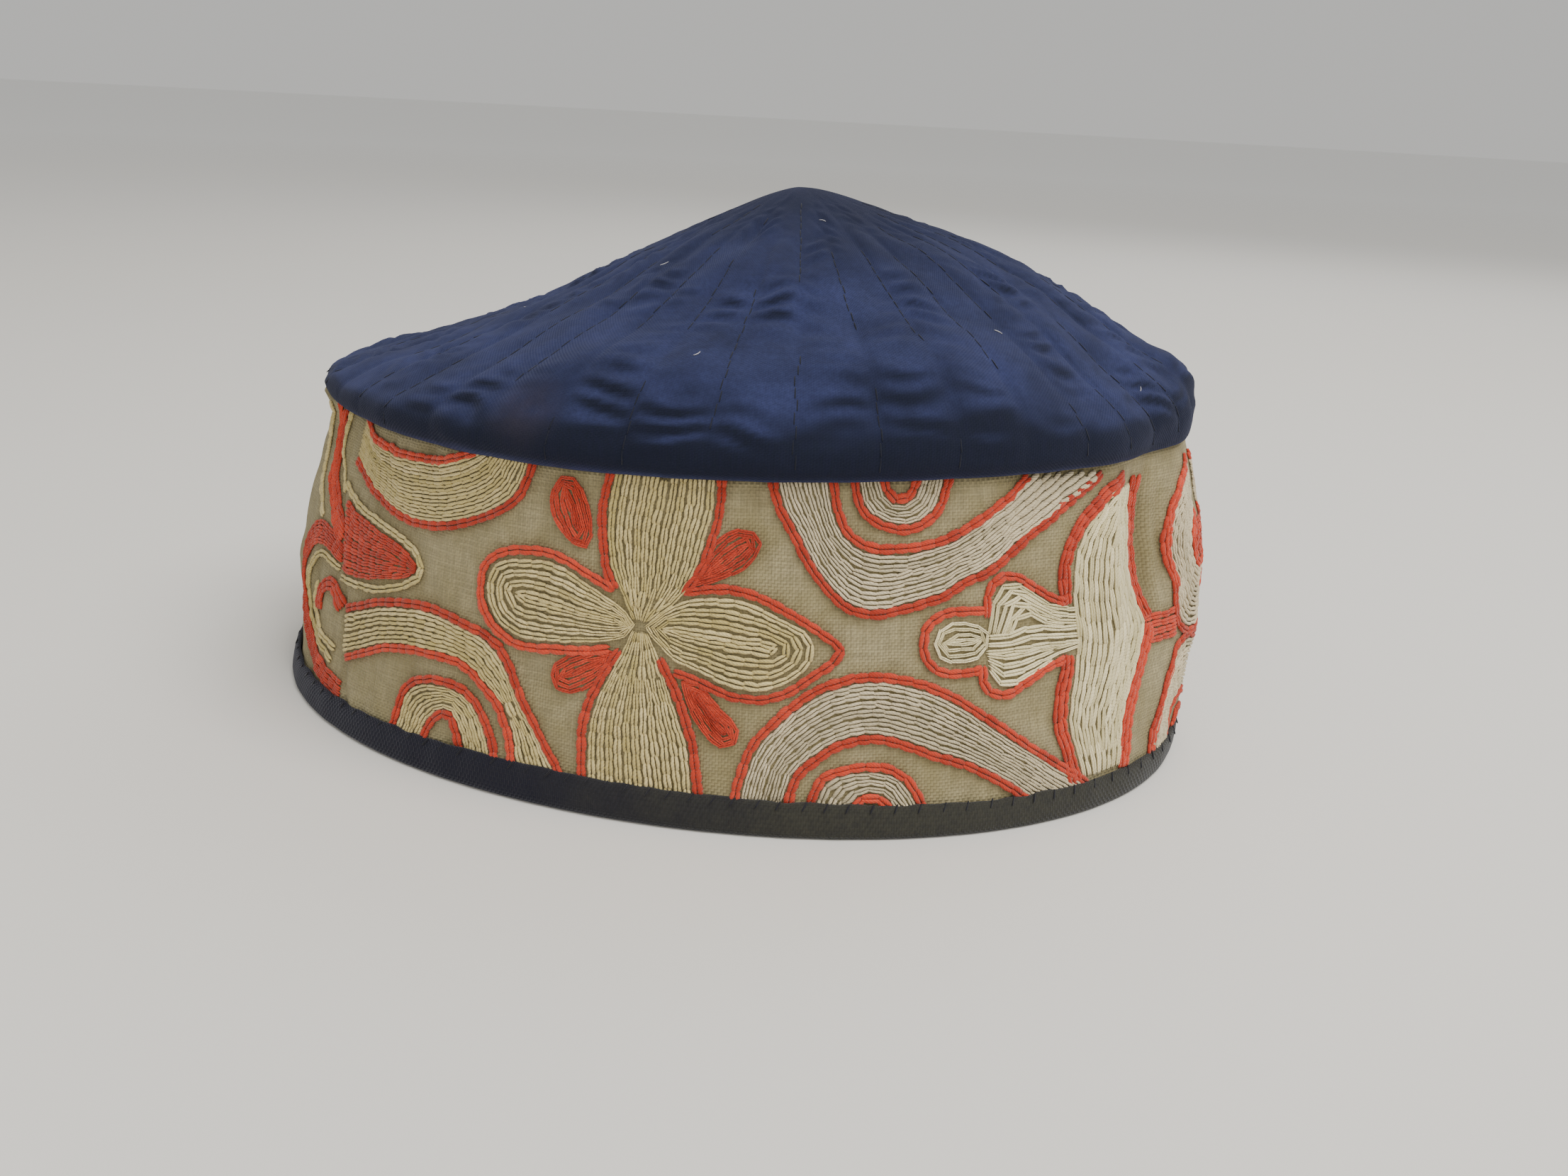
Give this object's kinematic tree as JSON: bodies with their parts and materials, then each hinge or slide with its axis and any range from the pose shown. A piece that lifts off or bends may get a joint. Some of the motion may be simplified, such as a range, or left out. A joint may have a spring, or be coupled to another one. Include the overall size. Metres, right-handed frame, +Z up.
{
  "type": "tubeteika skullcap",
  "caption": "Soft embroidered Central Asian skullcap with a tall upright band, a quilted crown that rises to a low point, and a bound rim.",
  "frame": {"origin": "centre of the box round the cap, on the surface that the rim stands on", "axes": "+X along the cap's length towards the pinched end, +Y across it, +Z up to the crown's point"},
  "size_m": [0.2072, 0.1538, 0.112],
  "materials": {
    "band_cloth": "plain-weave cotton, embroidered",
    "crown_cloth": "quilted cotton",
    "binding_cloth": "plain cotton"
  },
  "bodies": {
    "root": {"band": "band_cloth", "crown": "crown_cloth", "rim_binding": "binding_cloth"}
  },
  "joints": []
}
